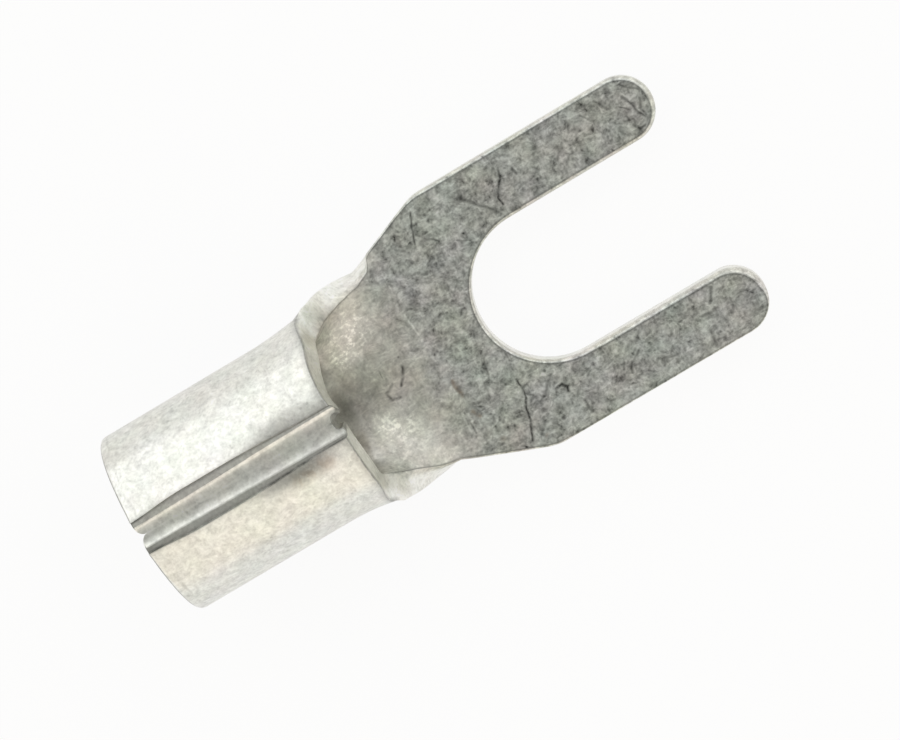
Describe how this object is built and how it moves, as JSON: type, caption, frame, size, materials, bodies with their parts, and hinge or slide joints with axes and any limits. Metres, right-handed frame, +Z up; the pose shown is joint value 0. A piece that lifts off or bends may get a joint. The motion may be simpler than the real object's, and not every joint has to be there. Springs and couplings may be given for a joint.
{
  "type": "fork terminal",
  "caption": "Uninsulated crimp terminal of tin-plated copper sheet: a seamed wire barrel opens through a scooped neck into a flat forked tongue that slips under a screw head.",
  "frame": {"origin": "centre of the stud slot's round end, on the underside of the tongue", "axes": "+X from the wire barrel to the tips of the tines, +Z up through the tongue towards the barrel's seam"},
  "size_m": [0.018, 0.0082, 0.0055],
  "materials": {
    "tin_plate": "dull tin plate over copper"
  },
  "bodies": {
    "root": {"fork_terminal": "tin_plate"}
  },
  "joints": []
}
